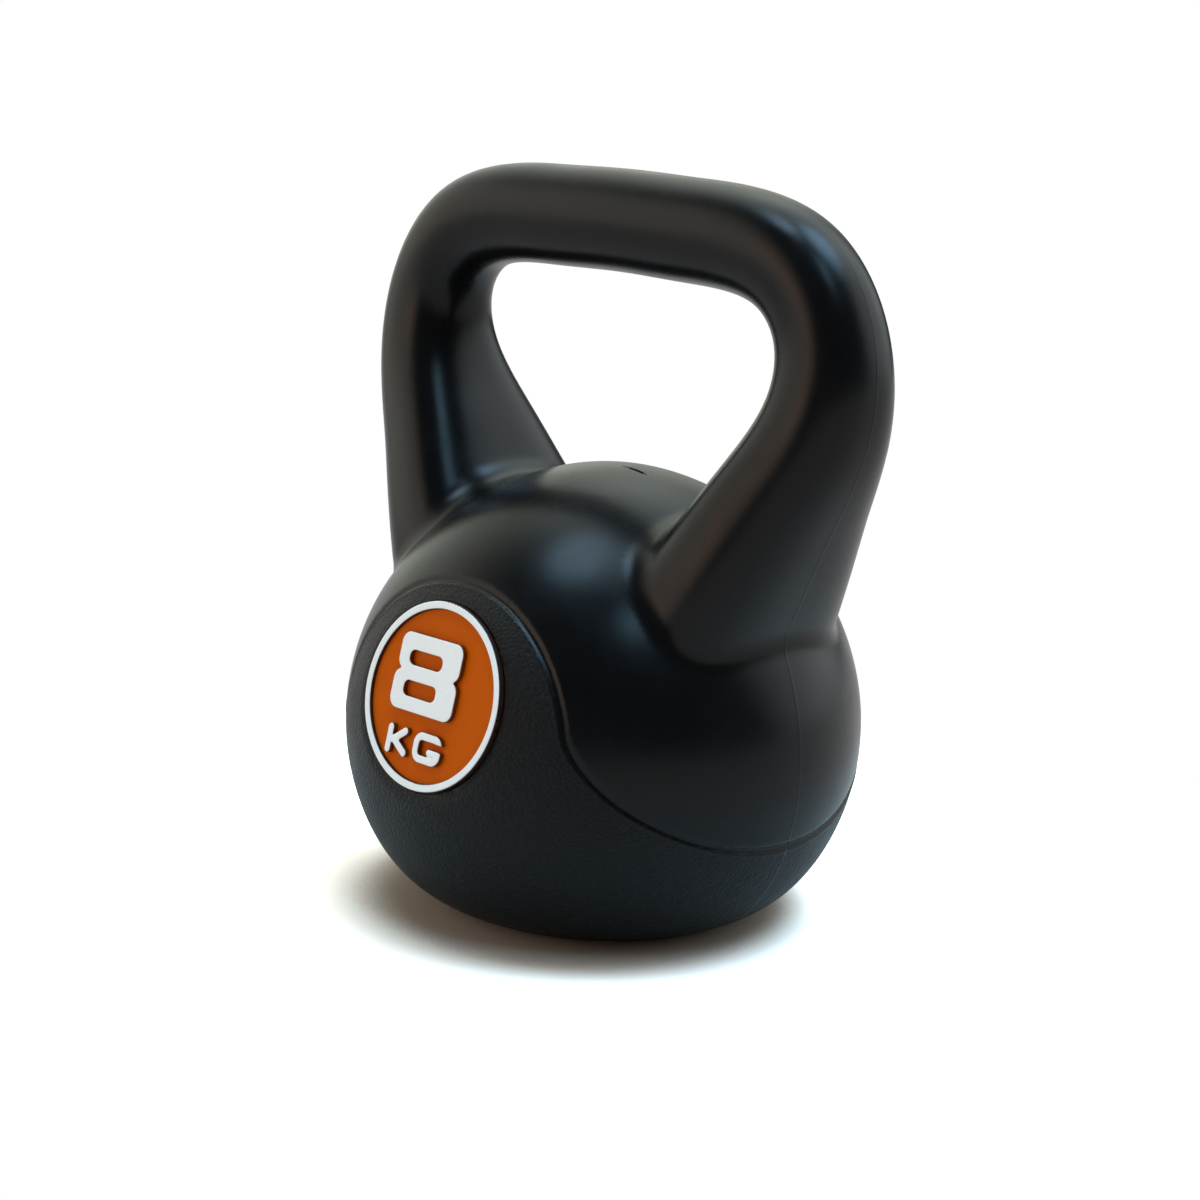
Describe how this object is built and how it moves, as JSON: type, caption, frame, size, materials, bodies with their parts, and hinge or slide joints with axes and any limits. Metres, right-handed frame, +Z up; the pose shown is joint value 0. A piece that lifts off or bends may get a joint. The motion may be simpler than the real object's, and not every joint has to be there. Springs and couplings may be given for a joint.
{
  "type": "kettlebell",
  "caption": "Moulded plastic kettlebell cast full of ballast, with a one-piece loop handle, a textured base zone and a round weight badge.",
  "frame": {"origin": "centre of the base, on the floor plane", "axes": "+Z up; the grip runs along X; the badge faces -Y"},
  "size_m": [0.2268, 0.1842, 0.2606],
  "materials": {
    "black_plastic": "satin",
    "cement": "matte",
    "plug_plastic": "matte",
    "white_plastic": "gloss",
    "orange_plastic": "gloss",
    "adhesive": "matte"
  },
  "bodies": {
    "root": {"shell": "black_plastic", "ballast": "cement", "fill_plug": "plug_plastic", "badge_ring": "white_plastic", "badge_plate": "orange_plastic", "badge_adhesive": "adhesive"}
  },
  "joints": []
}
